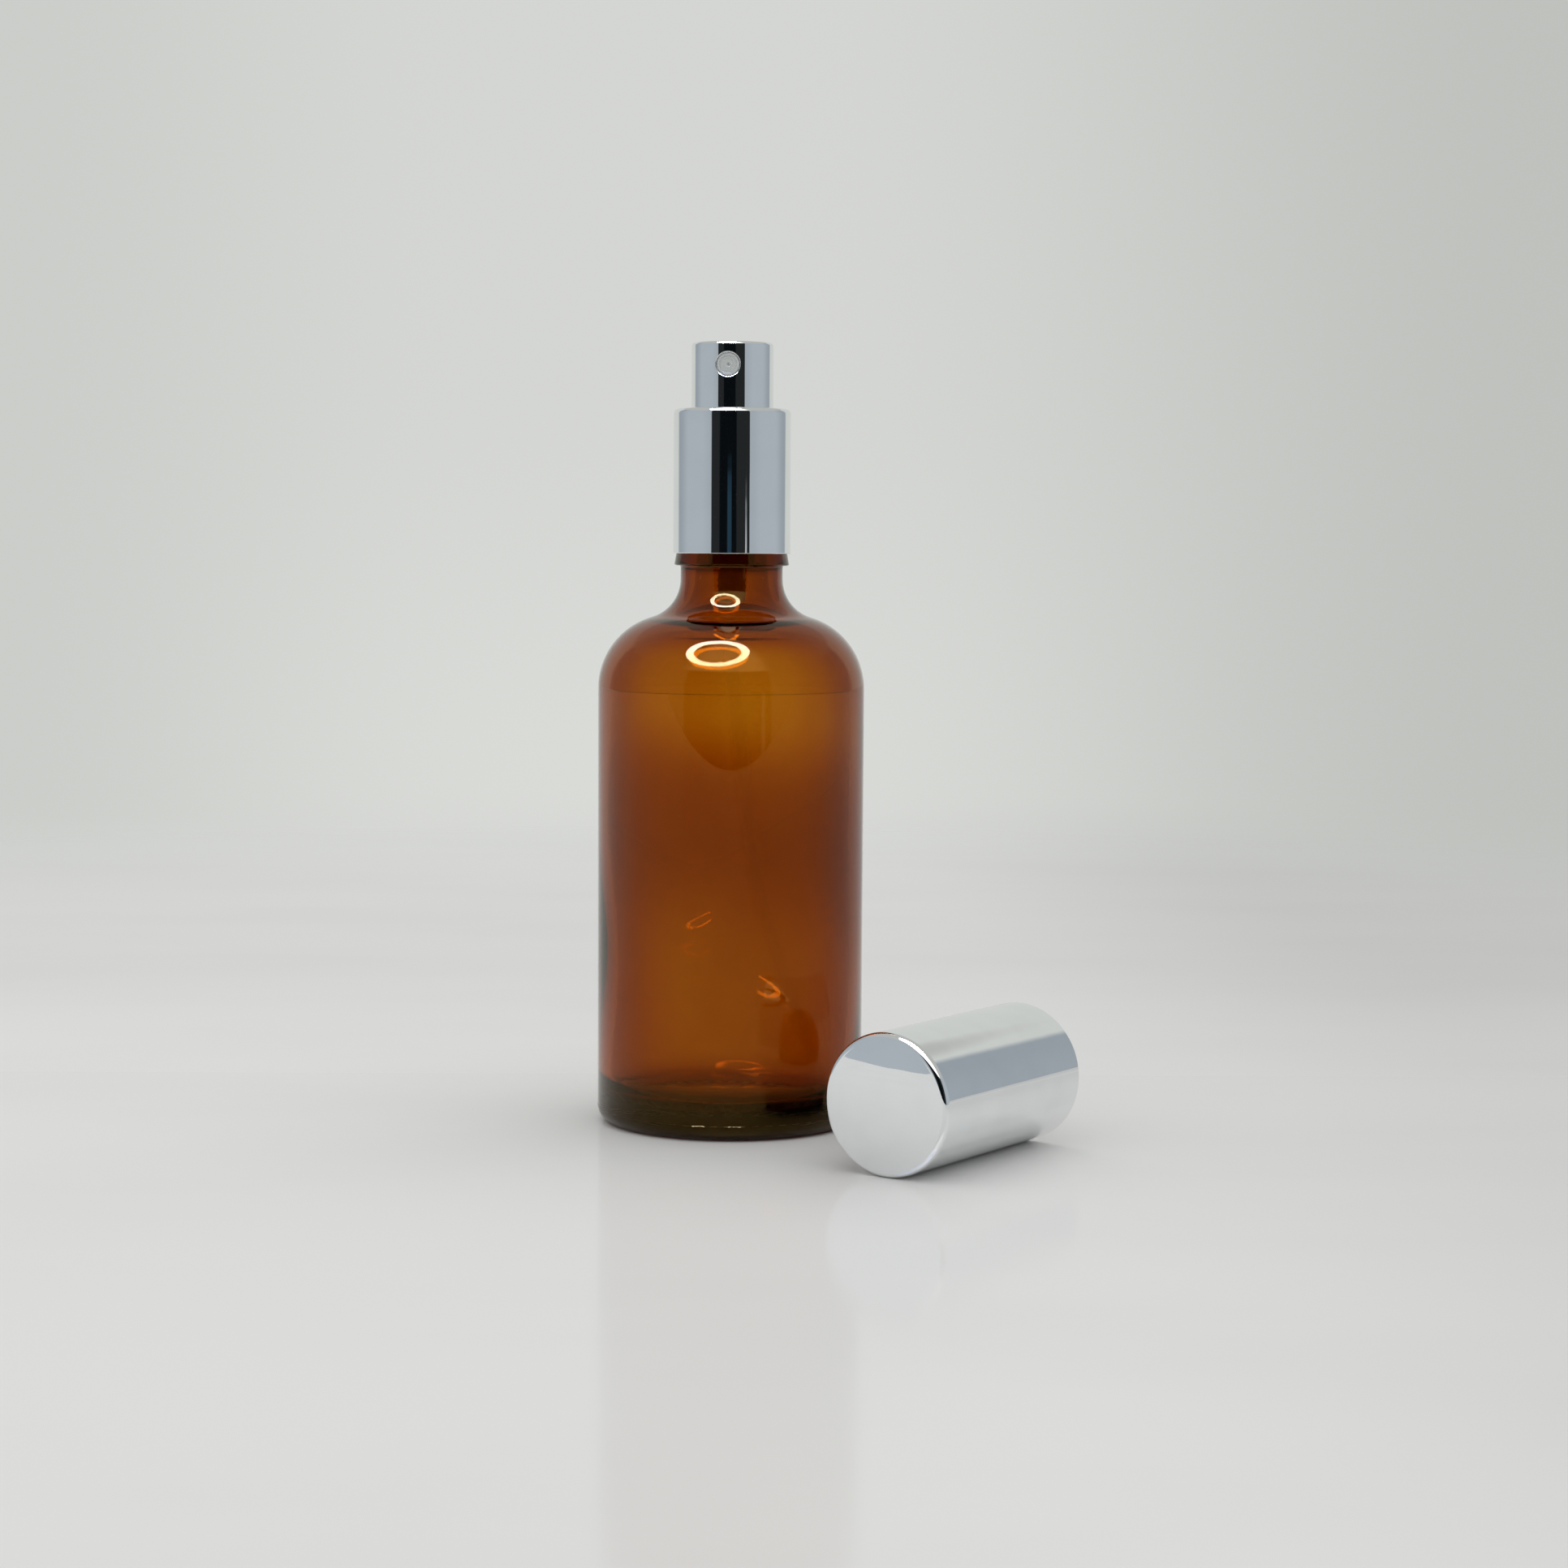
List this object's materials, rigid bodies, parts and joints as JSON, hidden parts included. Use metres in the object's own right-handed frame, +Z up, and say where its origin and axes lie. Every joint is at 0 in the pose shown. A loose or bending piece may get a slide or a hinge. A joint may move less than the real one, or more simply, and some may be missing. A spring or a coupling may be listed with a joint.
{
  "type": "spray bottle",
  "caption": "Amber glass fine-mist spray bottle: round body, screw-on metal-shelled pump with a press-down actuator and nozzle, and a tubular metal overcap lying beside it.",
  "frame": {"origin": "middle of the bottle's resting base, in the plane of the table", "axes": "+Z up along the bottle's axis, the nozzle sprays toward -Y, the overcap lies on the +X -Y side"},
  "size_m": [0.0857, 0.0786, 0.1375],
  "materials": {
    "amber_glass": "clear amber container glass, glossy",
    "bright_metal": "mirror-polished silver anodised aluminium",
    "white_plastic": "moulded white polypropylene, satin",
    "gasket_foam": "soft foamed polyethylene, matte",
    "pump_plastic": "natural polypropylene, slightly translucent",
    "seal_rubber": "matte black rubber",
    "valve_plastic": "natural polyethylene, matte",
    "piston_plastic": "soft natural polyethylene, matte",
    "spring_steel": "bright drawn stainless steel",
    "tube_plastic": "natural polyethylene tube, translucent",
    "nozzle_plastic": "moulded white acetal, semi-gloss",
    "liner_plastic": "moulded white polypropylene, semi-gloss"
  },
  "bodies": {
    "bottle": {"bottle": "amber_glass"},
    "pump": {"pump_housing": "pump_plastic", "turret": "pump_plastic", "stem_seal": "seal_rubber", "neck_gasket": "gasket_foam", "spring_seat": "pump_plastic", "dip_tube": "tube_plastic", "main_spring": "spring_steel"},
    "closure": {"closure": "white_plastic", "collar_shell": "bright_metal"},
    "stem": {"stem": "pump_plastic", "plunger": "valve_plastic", "piston_spring": "spring_steel"},
    "piston": {"piston": "piston_plastic"},
    "actuator": {"actuator_core": "white_plastic", "actuator_shell": "bright_metal", "nozzle_insert": "nozzle_plastic"},
    "ball": {"check_ball": "spring_steel"},
    "overcap": {"overcap_shell": "bright_metal", "overcap_liner": "liner_plastic"}
  },
  "joints": [
    {"name": "pump_lift", "type": "slide", "parent": "bottle", "child": "pump", "axis": [0, 0, 1], "range_m": [0, 0.0066]},
    {"name": "closure_turn", "type": "hinge", "parent": "pump", "child": "closure", "pos_m": [0, 0, 0.1005], "axis": [0, 0, 1], "range_deg": [0, 790]},
    {"name": "head_press", "type": "slide", "parent": "pump", "child": "stem", "axis": [0, 0, -1], "range_m": [0, 0.0045], "stiffness_N_per_m": 1350, "springref_m": -0.0042, "deforming": ["main_spring"]},
    {"name": "actuator_spin", "type": "hinge", "parent": "stem", "child": "actuator", "pos_m": [0, 0, 0.1286], "axis": [0, 0, 1], "continuous": true},
    {"name": "piston_valve", "type": "slide", "parent": "stem", "child": "piston", "axis": [0, 0, 1], "range_m": [0, 0.0004], "stiffness_N_per_m": 30, "springref_m": -0.002, "deforming": ["piston_spring"]},
    {"name": "ball_lift", "type": "slide", "parent": "pump", "child": "ball", "axis": [0, 0, 1], "range_m": [0, 0.0006]},
    {"name": "cap_swing", "type": "hinge", "parent": "bottle", "child": "overcap", "pos_m": [0.04829, 0.08431, 0.09476], "axis": [-0.6778, 0.6859, -0.2648], "range_deg": [0, 94.32]}
  ],
  "couplings": [
    {"joint": "pump_lift", "follows": "closure_turn", "m_per_rad": 0.00047746}
  ]
}
